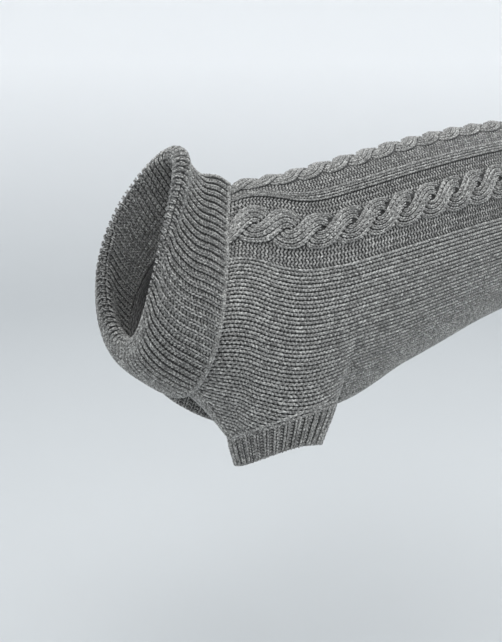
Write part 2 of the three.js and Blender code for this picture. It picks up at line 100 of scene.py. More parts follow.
# Closed sections of the body, from the neck seam (at 0) to the hem seam (at 1). Each passes through a top
# point on the spine and a low point under the chest or belly. "side" moves its flanks along X, and "egg"
# and "full" narrow its upper part, as over the withers.
SECTION_COLUMNS = ["at", "topX", "topZ", "lowX", "lowZ", "half", "side", "egg", "full"]
BODY = table(SECTION_COLUMNS, [
    (0.0, -24, -5, -80, -121, 47, 0, -0.46, -0.26),
    (0.05, 2.6, 2, -52, -140, 57, -11, -0.4, -0.2),
    (0.1, 22, 4, -33, -152, 62, -9, -0.32, -0.12),
    (0.15, 42, 6.6, -10, -160, 64.5, -7, -0.24, -0.06),
    (0.2, 61, 10.2, 14, -165, 66, -5, -0.18, -0.02),
    (0.25, 81, 14, 40, -167, 66.5, -3, -0.14, 0),
    (0.3, 101, 18, 66, -164.5, 66.5, -2, -0.11, 0),
    (0.35, 120, 22, 91, -159.5, 66.5, -1, -0.1, 0),
    (0.4, 140, 26, 115, -153, 66, 0, -0.09, 0),
    (0.5, 179, 32.5, 160, -138.5, 65, 0, -0.07, 0),
    (0.6, 218, 37.5, 199, -125, 64, 0, -0.05, 0),
    (0.7, 257, 40.5, 235, -115, 62, 0, -0.04, 0),
    (0.8, 297, 41.5, 267, -107, 60.5, 0, -0.03, 0),
    (0.9, 336, 40.5, 295, -102, 59.5, 0, -0.02, 0),
    (1.0, 375, 37, 320, -98, 59, 0, 0, 0),
])

# How the back's layout narrows towards the neck: as a whole, and by how much its middle part, out to
# DRAWN_OVER, is drawn in towards the spine as well
DRAWN_OVER = 84
LAYOUT_SIZE = table(["at", "share", "draw"], [
    (0.0, 0.63, 10),
    (0.04, 0.69, 12.5),
    (0.085, 0.775, 12),
    (0.115, 0.862, 9.3),
    (0.15, 0.935, 3.8),
    (0.19, 0.98, 0.3),
    (0.25, 1, 0),
    (1.0, 1, 0),
])

# The collar's outer layer from its free edge to its fold, then its inner layer down to the neck seam
COLLAR_ROWS = ("freeEdge", "lower", "middle", "upper", "fold", "inner")
COLLAR = table(SECTION_COLUMNS[1:], [
    (-9, 2.5, -58, -143.5, 58, -11, -0.46, -0.26),
    (-19, 7, -70, -135, 57.5, -11.5, -0.42, -0.22),
    (-32, 8.5, -83, -125, 55, -12, -0.32, -0.15),
    (-43, 19, -92, -115, 49.5, -12, -0.22, -0.08),
    (-48, 24, -89, -105, 45, -12, -0.14, -0.04),
    (-38, 9, -85, -112, 44.5, -7, -0.3, -0.14),
])
FOLD_RADIUS = 1.3 * RIB_WALL  # of the collar's middle surface, round its fold
FOLD_STEPS = 4
COLLAR_RIBS = 72
COLLAR_COURSES = 39
CUFF_RIBS = 32
CUFF_COURSES = 10
HEM_RIBS = 56
HEM_COURSES = 7
RIB_STEPS = 5  # points of the ground across one rib
RIB_RISE = 0.2  # the share of a rib's width over which it rises from its groove
RIB_FOOT = 0.4  # and where on that rise it starts
RIB_KNIT_WIDE = 0.66  # the share of a rib's width that its knit wale takes up, and its purl wale
RIB_PURL_WIDE = 0.34
GROOVE_SINK = 0.3  # the purl wale in the groove lies lower by this much

# Where the belly seam runs, as a share of the half round from spine to belly, along the body
BELLY_SEAM = table(["at", "turn"], [(0.0, 0.82), (0.3, 0.82), (0.5, 0.85), (1.0, 0.86)])

# The leg openings, then the cuffs' lower rings. x, y, z is the middle of a ring, along and across are its
# half sizes, rise is its slope towards the tail, lift its slope outwards and bow how much both its outer and
# its inner side curve up. An opening takes up the body's edge from "front" to "rear".
LEGS = {
    "cuff_left": dict(side=-1, x=13, y=42, z=-166, along=42, across=27, rise=0.15, lift=0.42, bow=0,
                      front=0.08, rear=0.26),
    "cuff_right": dict(side=1, x=-4, y=42, z=-151, along=35, across=26, rise=-0.5, lift=0.2, bow=0,
                       front=0.04, rear=0.2),
}
CUFF_ENDS = {
    "cuff_left": dict(side=-1, x=9.8, y=41, z=-190.5, along=32.7, across=24, rise=0.06, lift=0.35, bow=0.2),
    "cuff_right": dict(side=1, x=-15, y=41, z=-170, along=30, across=23.5, rise=-0.5, lift=0.25, bow=0),
}
SEAM_DIP = 0.15  # over an opening the side's own curve ends higher, and hangs straight from there
PULL_FROM = 0.5  # the share of a side, from the spine, that the openings don't draw
PULL_LEAD = 0.06  # how far ahead of an opening, along the body, its pull is felt at most
PULL_TAIL = 0.17  # and how far behind it
CUFF_TUCK = 1.2  # a cuff's top edge is sewn in under the body's edge by this much
INNER_SEAM = 0.93  # between the legs the belly panel is this narrow, as a share of the half round
HEM_LENGTH = 22
HEM_DRAW = 0.97  # the hem band draws in a little

# Photograph and camera: the photograph is 502 by 642, and the camera's angles and distance were solved from
# the seams, the ribs and the outline
PHOTO_HEIGHT = 642
FOCAL_PIXELS = 1000
CAMERA_AZIMUTH = -30
CAMERA_ELEVATION = 13
CAMERA_PLACE = (-0.3496, -0.6240, 0.0672)
SENSOR = 36
# The studio, in metres
FLOOR = -0.42
# The backdrop's colour runs from painted shade on the floor to painted light up the wall.
BACKDROP_LIT_AT = 0.15  # the height at which the backdrop reaches its whitest
BACKDROP_SHADED_LOW = (0.6, 0.62, 0.63, 1)
BACKDROP_LIT_HIGH = (0.98, 0.99, 1, 1)
BEND_STEPS = 8
STUDIO_TURNS = 64
LAMPS_AIM = (0.05, 0, -0.07)


def mix(a, b, t):
    return a + (b - a) * t


def ease(t):
    t = np.clip(t, 0, 1)
    return t * t * (3 - 2 * t)


def smooth(places, values, at):
    """Values at a place, or at several, on a smooth curve through the given ones."""
    at = np.asarray(at, float)
    last = len(places) - 1
    k = np.arange(last + 1)
    before, after = np.maximum(k - 1, 0), np.minimum(k + 1, last)
    spread = (-1,) + (1,) * (values.ndim - 1)
    slopes = (values[after] - values[before]) / (places[after] - places[before]).reshape(spread)
    i = np.clip(np.searchsorted(places, at, side="right") - 1, 0, last - 1)
    shape = at.shape + (1,) * (values.ndim - 1)
    step = (places[i + 1] - places[i]).reshape(shape)
    t = ((at - places[i]).reshape(shape)) / step
    curve = values[i] * (2 * t**3 - 3 * t**2 + 1) + slopes[i] * step * (t**3 - 2 * t**2 + t)
    return curve + values[i + 1] * (3 * t**2 - 2 * t**3) + slopes[i + 1] * step * (t**3 - t**2)


def row_at(rows, at):
    """A table's row at a place along it, as a dictionary of numbers."""
    names = [name for name in rows if name != "at"]
    found = smooth(rows["at"], np.stack([rows[name] for name in names], axis=1), at)
    return dict(zip(names, found))


def half_ring(section):
    """Half of a closed section, from its top point round the wearer's left: points and arc lengths."""
    angle = np.linspace(0, math.pi, ARC_SAMPLES + 1)
    c, s = np.cos(angle), np.sin(angle)
    x = mix(section["lowX"], section["topX"], (1 + c) / 2) + section["side"] * s * s
    y = -section["half"] * s * (1 + section["egg"] * c + section["full"] * c * c)
    z = mix(section["lowZ"], section["topZ"], (1 + c) / 2)
    points = np.stack([x, y, z], axis=1)
    steps = np.linalg.norm(np.diff(points, axis=0), axis=1)
    return points, np.concatenate([[0], np.cumsum(steps)])


def ring_point(ring, turn):
    """Points of a ring: turn 0 at the top, 1 at the low point by the wearer's left, -1 by the right."""
    points, lengths = ring
    turn = np.asarray(turn, float)
    want = np.minimum(np.abs(turn), 1) * lengths[-1]
    found = np.stack([np.interp(want, lengths, points[:, k]) for k in range(3)], axis=-1)
    found[..., 1] *= np.where(turn < 0, -1, 1)
    return found


def leg_point(leg, angle):
    """Points of a leg opening's ring: angle 0 at the front, a quarter turn at its outermost."""
    dx = -leg["along"] * np.cos(angle)
    out = leg["across"] * np.sin(angle)
    z = leg["z"] + leg["rise"] * dx + leg["lift"] * out + leg["bow"] * out * out / leg["across"]
    return np.stack(np.broadcast_arrays(leg["x"] + dx, leg["side"] * (leg["y"] + out), z), axis=-1)


def leg_edge(leg, at, outer):
    """How the body's edge meets a leg opening: the belly seam's turn, the turn where the body's own curve
    ends, and the pull from there to the edge."""
    seam = row_at(BELLY_SEAM, at)["turn"]
    along = (at - leg["front"]) / (leg["rear"] - leg["front"])
    near = min(max(along, 0), 1)
    arch = math.sin(math.pi * near)
    turn = seam - SEAM_DIP * arch**2 if outer else mix(seam, INNER_SEAM, arch)
    anchor_at = mix(leg["front"], leg["rear"], near)
    anchor_turn = turn if 0 <= along <= 1 else row_at(BELLY_SEAM, anchor_at)["turn"]
    anchor = ring_point(half_ring(row_at(BODY, anchor_at)), -leg["side"] * anchor_turn)
    pull = leg_point(leg, math.pi * near * (1 if outer else -1)) - anchor
    if along < 0:
        pull = pull * ease(1 - (leg["front"] - at) / min(PULL_LEAD, leg["front"]))
    if along > 1:
        pull = pull * (1 - ease((at - leg["rear"]) / PULL_TAIL))
    return seam, turn, pull


def laid_out(across, size):
    """An arc length of the layout as it lies at a place along the body."""
    return across * size["share"] - size["draw"] * np.sin(math.pi * np.minimum(across / DRAWN_OVER, 1)) ** 2


def back_points(places, across):
    """Points on the plain back. places are shares of the body's length, one for each row, and across is the
    layout's own coordinate, towards the wearer's left, one line for all rows or one for each."""
    across = np.broadcast_to(across, (len(places), np.shape(across)[-1]))
    grid = np.zeros(across.shape + (3,))
    for at, line, row in zip(places, across, grid):
        ring = half_ring(row_at(BODY, at))
        total = ring[1][-1]
        size = row_at(LAYOUT_SIZE, at)
        for leg in LEGS.values():
            sign = -leg["side"]
            mine = line * sign >= 0
            away = np.abs(line[mine])
            seam, turn, pull = leg_edge(leg, at, True)
            inner = (laid_out(np.minimum(away, PURL_OUTER), size) + sign * LAYOUT_ROLL) / total
            place = mix(inner, seam, np.maximum((away - PURL_OUTER) / SIDE_SPAN, 0))
            share = np.clip((place / seam - PULL_FROM) / (1 - PULL_FROM), 0, 1) ** 2
            row[mine] = ring_point(ring, sign * (place + share * (turn - seam))) + share[:, None] * pull
    return grid


def belly_points(places, across):
    """Points on the belly panel; across runs from -1 at the wearer's right seam to 1 at the left one."""
    grid = np.zeros((len(places), len(across), 3))
    for at, row in zip(places, grid):
        ring = half_ring(row_at(BODY, at))
        for leg in LEGS.values():
            sign = -leg["side"]
            mine = across * sign >= 0
            away = np.abs(across[mine])
            _, turn, pull = leg_edge(leg, at, False)
            row[mine] = ring_point(ring, sign * mix(1, turn, away)) + away[:, None] ** 2 * pull
    return grid


def strand_middle(along, sign):
    """How far one of a cable's two strands is from the cable's middle, as a share of its half width."""
    return sign * STRAND_REACH * np.cos(math.pi * (along - CABLE_START) / CROSSING)


def strand_lift(along):
    """From 1 where a cable's first strand is on top to -1 where its second one is."""
    return np.sin(math.pi * (along - CABLE_START) / CROSSING)


def strand_half(along):
    return STRAND_HALF * (1 + STRAND_SPREAD * strand_lift(along) ** 2)


def strand_off(along, off_middle, sign):
    """How far a place is from a strand's middle, in the strand's own half widths."""
    return (off_middle / CABLE_HALF - strand_middle(along, sign)) / strand_half(along)


def strand_heights(along, off_middle):
    """Heights of a rope cable's two strands over the cloth."""
    heights = []
    for sign in (1, -1):
        off = strand_off(along, off_middle, sign)
        dome = np.sqrt(np.maximum(0, 1 - off * off))
        height = dome * (CABLE_HEIGHT - CABLE_LIFT + sign * CABLE_LIFT * strand_lift(along))
        heights.append(np.where(strand_covered(along, off_middle, sign), 0, height))
    return heights


def strand_covered(along, off_middle, sign):
    """Where a strand is hidden by the other one, or lost in the crease beside it."""
    beside = strand_off(along, off_middle, -sign)
    near = (beside > STRAND_COVER[0]) & (beside < STRAND_COVER[1])
    return near & (sign * strand_lift(along) < 0)


def fade(places):
    """The share of the cables' and ribs' height that is reached at each place along the body."""
    rising = ease((places - FADE_IN[0]) / (FADE_IN[1] - FADE_IN[0]))
    return rising * ease((FADE_OUT[1] - places) / (FADE_OUT[1] - FADE_OUT[0]))


def back_height(places, across):
    """The height of the back's knit over plain cloth."""
    along = places[:, None] * BODY_LENGTH
    across = np.broadcast_to(across, (len(places), np.shape(across)[-1]))
    away = np.abs(across)
    cable = np.where(away > CABLE_SPACING / 2, np.sign(across) * CABLE_SPACING, 0)
    rope = np.maximum(*strand_heights(along, across - cable))
    rib = RIB_HEIGHT * ease((PLAIN_RIB_HALF - np.abs(away - PLAIN_RIB_MIDDLE)) / SHOULDER)
    purl = -PURL_DEPTH * ease((PURL_OUTER - away) / SHOULDER)
    return fade(places)[:, None] * (purl + rib + np.where(rope > 0, rope + PURL_DEPTH, 0))


def normals(grid, closed, outward):
    """Unit normals of a grid of points; a closed grid runs round across its rows."""
    along = np.gradient(grid, axis=0)
    across = wale_steps(grid, closed)
    normal = np.cross(across, along)
    return outward * normal / np.maximum(np.linalg.norm(normal, axis=-1, keepdims=True), TINY)


def wale_steps(grid, closed):
    """From each point of a grid to the next one across it."""
    if not closed:
        return np.gradient(grid, axis=1)
    return np.gradient(np.concatenate([grid[:, -1:], grid, grid[:, :1]], axis=1), axis=1)[:, 1:-1]


def rib_profile(share):
    """The height of 1x1 rib over its grooves; share runs from one groove to the next."""
    return RIB_HEIGHT * ease(share / RIB_RISE - RIB_FOOT) * ease((1 - share) / RIB_RISE - RIB_FOOT)


def ring_turns(shares):
    """From shares of the whole round to signed turns of a half ring."""
    return np.where(shares <= 0.5, 2 * shares, 2 * shares - 2)


def collar_points(rows, shares):
    """Points on the collar's middle surface. rows run from 0 at its free edge to 1 at the neck seam, and
    shares are shares of the round."""
    turn = ring_turns(shares)
    rings = {name: half_ring({key: COLLAR[key][k] for key in COLLAR}) for k, name in enumerate(COLLAR_ROWS)}
    middle, inner = ring_point(rings["middle"], turn), ring_point(rings["inner"], turn)
    line = [ring_point(rings[name], turn) for name in ("freeEdge", "lower", "middle", "upper")]
    crest = ring_point(rings["fold"], turn)
    back = middle - crest
    back /= np.linalg.norm(back, axis=-1, keepdims=True)
    inward = inner - middle
    inward -= (inward * back).sum(axis=-1, keepdims=True) * back
    inward /= np.linalg.norm(inward, axis=-1, keepdims=True)
    for angle in np.linspace(0, math.pi, FOLD_STEPS + 1):
        line.append(crest - FOLD_RADIUS * (math.cos(angle) * inward + math.sin(angle) * back))
    neck = half_ring(row_at(BODY, 0))
    end = ring_point(neck, turn)
    seam = inner - end
    seam *= SEAM_GAP / 2 / np.linalg.norm(seam, axis=-1, keepdims=True)
    outward = end - (neck[0][0] + neck[0][-1]) / 2
    outward /= np.linalg.norm(outward, axis=-1, keepdims=True)
    line += [inner, end + seam - outward * WALL / 2]
    line = np.stack(line)
    steps = np.linalg.norm(np.diff(line, axis=0), axis=-1).mean(axis=1)
    places = np.concatenate([[0], np.cumsum(steps)])
    return smooth(places / places[-1], line, rows)


def cuff_points(name, rows, shares):
    """Points on a cuff's outer face before its ribs, rows from 0 at the leg opening to 1 at its end."""
    top = leg_point(LEGS[name], 2 * math.pi * shares)
    end = leg_point(CUFF_ENDS[name], 2 * math.pi * shares)
    run = end - top
    top = top - run * CUFF_TUCK / np.linalg.norm(run, axis=-1, keepdims=True)
    return mix(top, end, rows[:, None, None])


def hem_points(rows, shares):
    """Points on the hem band's outer face before its ribs, rows from 0 at the hem seam to 1."""
    section = row_at(BODY, 1.0)
    top = np.array([section["topX"], 0, section["topZ"]])
    low = np.array([section["lowX"], 0, section["lowZ"]])
    run = np.array([top[2] - low[2], 0, low[0] - top[0]])
    run /= np.linalg.norm(run)
    ring = ring_point(half_ring(section), ring_turns(shares))
    share = rows[:, None, None]
    return mix(ring, (top + low) / 2, share * (1 - HEM_DRAW)) + run * mix(SEAM_GAP / 2, HEM_LENGTH, share)


def collection_object(name, mesh):
    made = bpy.data.objects.new(name, mesh)
    bpy.context.scene.collection.objects.link(made)
    return made


def shell(name, outer, inner, closed, material):
    """A closed wall between two grids of points, in millimetres."""
    rows, columns = outer.shape[:2]
    ids = np.arange(2 * rows * columns).reshape(2, rows, columns)
    if closed:
        ids = np.concatenate([ids, ids[:, :, :1]], axis=2)

    def quads(a, flip):
        corners = [a[:-1, :-1], a[:-1, 1:], a[1:, 1:], a[1:, :-1]]
        return np.stack(corners[::-1] if flip else corners, axis=-1).reshape(-1, 4)

    faces = [quads(ids[0], False), quads(ids[1], True)]
    faces += [quads(ids[:, 0].copy(), True), quads(ids[:, -1].copy(), False)]
    if not closed:
        faces += [quads(ids[:, :, 0].copy(), False), quads(ids[:, :, -1].copy(), True)]
    mesh = bpy.data.meshes.new(name)
    points = np.concatenate([outer.reshape(-1, 3), inner.reshape(-1, 3)]) * MM
    mesh.from_pydata(points.tolist(), [], np.concatenate(faces).tolist())
    mesh.shade_smooth()
    mesh.materials.append(material)
    mesh.materials.append(SHADED_INSIDE_YARN)
    count = len(faces[0])
    inside = (np.arange(len(mesh.polygons)) // count == 1).astype(int)
    mesh.polygons.foreach_set("material_index", inside)
    wide = np.linalg.norm(np.diff(inner, axis=1, prepend=inner[:, :1]), axis=-1)
    long = np.linalg.norm(np.diff(inner, axis=0, prepend=inner[:1]), axis=-1)
    across = wide.cumsum(axis=1) / SIDE_WALE
    along = long.mean(axis=1).cumsum() / COURSE
    stitch = np.zeros((2, rows, columns, 3))
    stitch[1, ..., 0] = across
    stitch[1, ..., 1] = along[:, None]
    mesh.attributes.new("stitch", "FLOAT_VECTOR", "POINT").data.foreach_set("vector", stitch.ravel())
    mesh.update()
    return collection_object(name, mesh)


def input_identifiers(tree):
    """From the names of a tree's inputs to their identifiers."""
    return {i.name: i.identifier for i in tree.interface.items_tree if i.in_out == "INPUT"}


def stitch_tree():
    """One grain of yarn on every point, turned to the point's own directions and a little uneven."""
    tree = bpy.data.node_groups.new("lay_stitches", "GeometryNodeTree")
    inputs = (
        ("Geometry", "NodeSocketGeometry", None),
        ("Sides", "NodeSocketInt", 4),
        ("Rings", "NodeSocketInt", 3),
        ("Unevenness", "NodeSocketFloat", 0.1),
        ("Seed", "NodeSocketInt", 1),
        ("Yarn", "NodeSocketMaterial", None),
    )
    for name, kind, value in inputs:
        made = tree.interface.new_socket(name, in_out="INPUT", socket_type=kind)
        if value is not None:
            made.default_value = value
    tree.interface.new_socket("Geometry", in_out="OUTPUT", socket_type="NodeSocketGeometry")

    def node(kind, **settings):
        made = tree.nodes.new(kind)
        for key, value in settings.items():
            setattr(made, key, value)
        return made

    def link(source, target):
        tree.links.new(source, target)

    given = node("NodeGroupInput").outputs

    def attribute(name):
        made = node("GeometryNodeInputNamedAttribute", data_type="FLOAT_VECTOR")
        made.inputs["Name"].default_value = name
        return made.outputs["Attribute"]

    def vector_math(operation, a, b):
        made = node("ShaderNodeVectorMath", operation=operation)
        link(a, made.inputs[0])
        link(b, made.inputs["Scale"] if operation == "SCALE" else made.inputs[1])
        return made.outputs[0]

    def random_vector(offset):
        made = node("FunctionNodeRandomValue", data_type="FLOAT_VECTOR")
        made.inputs["Min"].default_value = (-1, -1, -1)
        seed = node("ShaderNodeMath", operation="ADD")
        seed.inputs[1].default_value = offset
        link(given["Seed"], seed.inputs[0])
        link(seed.outputs[0], made.inputs["Seed"])
        return vector_math("SCALE", made.outputs["Value"], given["Unevenness"])

    grain = node("GeometryNodeMeshUVSphere")
    grain.inputs["Radius"].default_value = 0.5
    link(given["Sides"], grain.inputs["Segments"])
    link(given["Rings"], grain.inputs["Rings"])

    turned = node("FunctionNodeAxesToRotation", primary_axis="Z", secondary_axis="X")
    link(vector_math("ADD", attribute("along"), random_vector(0)), turned.inputs["Primary Axis"])
    link(attribute("outward"), turned.inputs["Secondary Axis"])

    one = node("ShaderNodeCombineXYZ")
    for socket in one.inputs:
        socket.default_value = 1
    sized = vector_math("MULTIPLY", attribute("size"), vector_math("ADD", one.outputs[0], random_vector(1)))

    placed = node("GeometryNodeInstanceOnPoints")
    link(given["Geometry"], placed.inputs["Points"])
    link(grain.outputs["Mesh"], placed.inputs["Instance"])
    link(turned.outputs[0], placed.inputs["Rotation"])
    link(sized, placed.inputs["Scale"])

    shade = node("GeometryNodeStoreNamedAttribute", domain="INSTANCE", data_type="FLOAT")
    shade.inputs["Name"].default_value = "shade"
    picked = node("FunctionNodeRandomValue", data_type="FLOAT")
    link(given["Seed"], picked.inputs["Seed"])
    link(placed.outputs[0], shade.inputs["Geometry"])
    link(picked.outputs["Value"], shade.inputs["Value"])

    real = node("GeometryNodeRealizeInstances")
    link(shade.outputs[0], real.inputs[0])
    round_shade = node("GeometryNodeSetShadeSmooth")
    link(real.outputs[0], round_shade.inputs["Geometry"])
    finish = node("GeometryNodeSetMaterial")
    link(round_shade.outputs[0], finish.inputs["Geometry"])
    link(given["Yarn"], finish.inputs["Material"])
    link(finish.outputs[0], node("NodeGroupOutput").inputs[0])
    return tree


STITCHES = stitch_tree()


def lay(name, batches, material, sides=4, rings=3, unevenness=0.1, seed=1):
    """A piece made of grains of yarn. A batch is (places, along, outward, size), sizes and places in
    millimetres, and a size is (thickness, width, length)."""
    places, along, outward, size = [
        np.concatenate([np.broadcast_to(batch[k], batch[0].shape).reshape(-1, 3) for batch in batches])
        for k in range(4)
    ]
    mesh = bpy.data.meshes.new(name)
    mesh.from_pydata((places * MM).tolist(), [], [])
    unit = along / np.linalg.norm(along, axis=-1, keepdims=True)
    for key, values in (("along", unit), ("outward", outward), ("size", size * MM)):
        mesh.attributes.new(key, "FLOAT_VECTOR", "POINT").data.foreach_set("vector", values.ravel())
    made = collection_object(name, mesh)
    modifier = made.modifiers.new("stitches", "NODES")
    modifier.node_group = STITCHES
    settings = {"Sides": sides, "Rings": rings, "Unevenness": unevenness, "Seed": seed, "Yarn": material}
    for key, identifier in input_identifiers(STITCHES).items():
        if key in settings:
            modifier[identifier] = settings[key]
    solid = bpy.data.meshes.new_from_object(made.evaluated_get(bpy.context.evaluated_depsgraph_get()))
    made.modifiers.clear()
    made.data = solid
    solid.name = name
    return made


# A knit stitch is a pair of legs and a purl stitch a pair of bars. The shares are of one stitch: how far a
# leg leans, how wide it is, how far it overlaps the next, and its thickness in millimetres.
LEG_PLACE = 0.24  # from the middle of a stitch to the middle of each leg
LEG_LEAN = 0.22
LEG_WIDTH = 0.38
LEG_OVERLAP = 1.35
LEG_THICKNESS = 2.1
BAR_LEAN = 0.75
BAR_WIDTH = 0.62
BAR_OVERLAP = 1.15
BAR_THICKNESS = 1.7
# In a cable the stitches are drawn long, so that each wale shows as a line
CABLE_PLACE = 0.21
CABLE_LEAN = 0.2
# The bind-off at a free edge, in millimetres but for its overlap, a share of the step to the next link
CHAIN_LEAN = 0.3
CHAIN_APART = 0.7
CHAIN_THICKNESS = 2.0
CHAIN_WIDTH = 1.9
CHAIN_OVERLAP = 1.5


def row_of(vector, *sizes):
    """Sizes in three columns, each a number or an array, as wide as a grid of vectors."""
    return np.stack([np.broadcast_to(size, vector.shape[:-1]) for size in sizes], axis=-1)


def knit(grid, outward, course, wale, place=LEG_PLACE, lean=LEG_LEAN):
    """The two legs of each knit stitch, from its middle and its steps along and across."""
    batches = []
    for side in (-1, 1):
        leg = course + side * lean * wale
        long = LEG_OVERLAP * np.linalg.norm(leg, axis=-1)
        wide = LEG_WIDTH * np.linalg.norm(wale, axis=-1)
        batches.append((grid + side * place * wale, leg, outward, row_of(leg, LEG_THICKNESS, wide, long)))
    return batches


def purl(grid, outward, course, wale):
    """The bars of each purl stitch, which zigzag across the cloth."""
    batches = []
    for side in (-1, 1):
        bar = wale / 2 + side * BAR_LEAN * course
        long = BAR_OVERLAP * np.linalg.norm(bar, axis=-1)
        wide = BAR_WIDTH * np.linalg.norm(course, axis=-1)
        batches.append((grid + side * wale / 4, bar, outward, row_of(bar, BAR_THICKNESS, wide, long)))
    return batches


def keep(batches, mask):
    """The same batches with only the stitches of a mask."""
    return [tuple(part[mask] for part in batch) for batch in batches]


def yarn(name, tone, speckle=1.0, inside=False):
    """Heather yarn: light and dark fibres, a slow drift of tone, soft nap and fine fibre bump. On the inside
    of the cloth, rows of purl bumps follow the stitches, and their colour is painted darker in the troughs
    and lighter on the crests, as painted shade and highlight."""
    material = bpy.data.materials.new(name)
    material.use_nodes = True
    nodes, links = material.node_tree.nodes, material.node_tree.links
    shader = nodes["Principled BSDF"]
    shader.inputs["Roughness"].default_value = 0.95
    shader.inputs["Specular IOR Level"].default_value = 0.15
    shader.inputs["Sheen Weight"].default_value = 0.3
    shader.inputs["Sheen Roughness"].default_value = 0.6
    place = nodes.new("ShaderNodeTexCoord").outputs["Object"]

    def noise(scale, detail):
        made = nodes.new("ShaderNodeTexNoise")
        made.inputs["Scale"].default_value = scale
        made.inputs["Detail"].default_value = detail
        links.new(place, made.inputs["Vector"])
        return made.outputs["Fac"]

    def ramp(source, stops):
        made = nodes.new("ShaderNodeValToRGB")
        elements = made.color_ramp.elements
        while len(elements) < len(stops):
            elements.new(0.5)
        for element, (position, value) in zip(elements, stops):
            element.position = position
            element.color = (value, value, value, 1)
        links.new(source, made.inputs["Fac"])
        return made.outputs["Color"]

    def multiply(a, b):
        made = nodes.new("ShaderNodeMix")
        made.data_type = "RGBA"
        made.blend_type = "MULTIPLY"
        made.inputs["Factor"].default_value = 1
        links.new(a, made.inputs["A"])
        links.new(b, made.inputs["B"])
        return made.outputs["Result"]

    shade = nodes.new("ShaderNodeAttribute")
    shade.attribute_name = "shade"
    low, high = 1 - 0.6 * speckle, 1 + 0.9 * speckle
    fibres = ramp(noise(900, 3), ((0.36, low), (0.5, 1.0), (0.64, high)))
    drift = ramp(noise(160, 2), ((0.3, 0.88), (0.7, 1.1)))
    each = ramp(shade.outputs["Fac"], ((0.0, 0.7), (1.0, 1.25)))
    base = nodes.new("ShaderNodeRGB")
    base.outputs[0].default_value = (*tone, 1)
    colour = multiply(multiply(multiply(base.outputs[0], fibres), drift), each)
    bump = nodes.new("ShaderNodeBump")
    bump.inputs["Strength"].default_value = 0.5
    bump.inputs["Distance"].default_value = 0.0003
    height = noise(2200, 3)
    if inside:
        bump.inputs["Distance"].default_value = 0.001
        height = purl_bumps(nodes, links)
        # painted shade and highlight: the colour follows the purl bumps' height, dark in the troughs between
        # them and light on their crests
        colour = multiply(colour, ramp(height, ((0.0, 0.4), (1.0, 1.3))))
    links.new(colour, shader.inputs["Base Color"])
    links.new(height, bump.inputs["Height"])
    links.new(bump.outputs["Normal"], shader.inputs["Normal"])
    return material


def purl_bumps(nodes, links):
    """A height from 0 to 1, with one row of bumps for each course of the cloth's own stitches."""
    attribute = nodes.new("ShaderNodeAttribute")
    attribute.attribute_name = "stitch"
    parts = nodes.new("ShaderNodeSeparateXYZ")
    links.new(attribute.outputs["Vector"], parts.inputs[0])

    def calculate(operation, *values):
        made = nodes.new("ShaderNodeMath")
        made.operation = operation
        for socket, value in zip(made.inputs, values):
            if isinstance(value, (int, float)):
                socket.default_value = value
            else:
                links.new(value, socket)
        return made.outputs[0]

    sway = calculate("SINE", calculate("MULTIPLY", parts.outputs["X"], 2 * math.pi))
    turn = calculate("MULTIPLY_ADD", parts.outputs["Y"], 2 * math.pi, calculate("MULTIPLY", sway, 1.2))
    return calculate("MULTIPLY_ADD", calculate("SINE", turn), 0.5, 0.5)


YARN = yarn("heather_yarn", (0.25, 0.25, 0.241))
# The ground under the stitches is the same yarn painted near black, as painted shade in the gaps between the
# stitches.
SHADE_GROUND_YARN = yarn("painted_shade_between_stitches", (0.055, 0.056, 0.055), 0.6)
# The inside yarn is a little darker than the outer yarn, as painted shade inside the sweater.
SHADED_INSIDE_YARN = yarn("yarn_inside_painted_shade", (0.2, 0.2, 0.195), inside=True)


def course_places(count):
    """The middles of a number of rows, as shares of the whole."""
    return (np.arange(count) + 0.5) / count


def back_shell():
    """The back's closed ground, with the relief of its cables and ribs."""
    fine = np.linspace(0, PURL_OUTER, BACK_COLUMNS)
    plain = PURL_OUTER + np.linspace(0, SIDE_SPAN, SIDE_COLUMNS + 1)[1:]
    half = np.concatenate([fine, plain])
    across = np.concatenate([-half[:0:-1], half])
    places = np.linspace(0, 1, BACK_ROWS + 1)
    grid = back_points(places, across)
    outward = normals(grid, False, 1)
    height = back_height(places, across) - GROUND
    outer = grid + outward * height[..., None]
    return shell("back_ground", outer, grid - WALL * outward, False, SHADE_GROUND_YARN)


def back_field(across, height):
    """A grid of stitch middles on the back, at a height over plain cloth, with their three directions."""
    places = course_places(COURSES)
    grid = back_points(places, across)
    outward = normals(grid, False, 1 if across.flat[0] < across.flat[-1] else -1)
    return lifted(grid, outward, fade(places)[:, None] * height - STITCH_SINK, False)


def lifted(grid, outward, height, closed):
    grid = grid + outward * np.broadcast_to(height, grid.shape[:2])[..., None]
    return grid, outward, np.gradient(grid, axis=0), wale_steps(grid, closed)


def wales_between(start, end, count):
    return start + (np.arange(count) + 0.5) * (end - start) / count


def side_knit(name, sign):
    """The plain side. Its wales run out at a last wale, which follows the edge."""
    reach = np.linspace(0, SIDE_REACH * SIDE_SPAN, SIDE_SAMPLES)
    lines = back_points(course_places(COURSES), sign * (PURL_OUTER + reach))
    steps = np.linalg.norm(np.diff(lines, axis=1), axis=-1)
    lengths = np.concatenate([np.zeros((COURSES, 1)), np.cumsum(steps, axis=1)], axis=1)
    edge = np.array([np.interp(SIDE_SPAN, reach, length) for length in lengths])[:, None]
    steady = np.array([edge[max(k - SIDE_STEADY, 0):k + SIDE_STEADY + 1].mean() for k in range(COURSES)])
    wale = SIDE_WALE * mix(1, steady / steady.max(), SIDE_EVEN)[:, None]
    wales = wale * (np.arange(math.ceil((edge / wale).max())) + 0.5)
    last = edge + wale * np.array(LAST_WALES)
    batches = []
    for away, shown in ((wales, wales < edge - WALE_END * wale), (last, np.array([[False, True, False]]))):
        across = np.array([np.interp(row, length, reach) for row, length in zip(away, lengths)])
        field = back_field(sign * (PURL_OUTER + across), 0)
        batches += keep(knit(*field), np.broadcast_to(shown, away.shape))
    return lay(name, batches, YARN, sides=5 if sign > 0 else 4, seed=3 + sign)


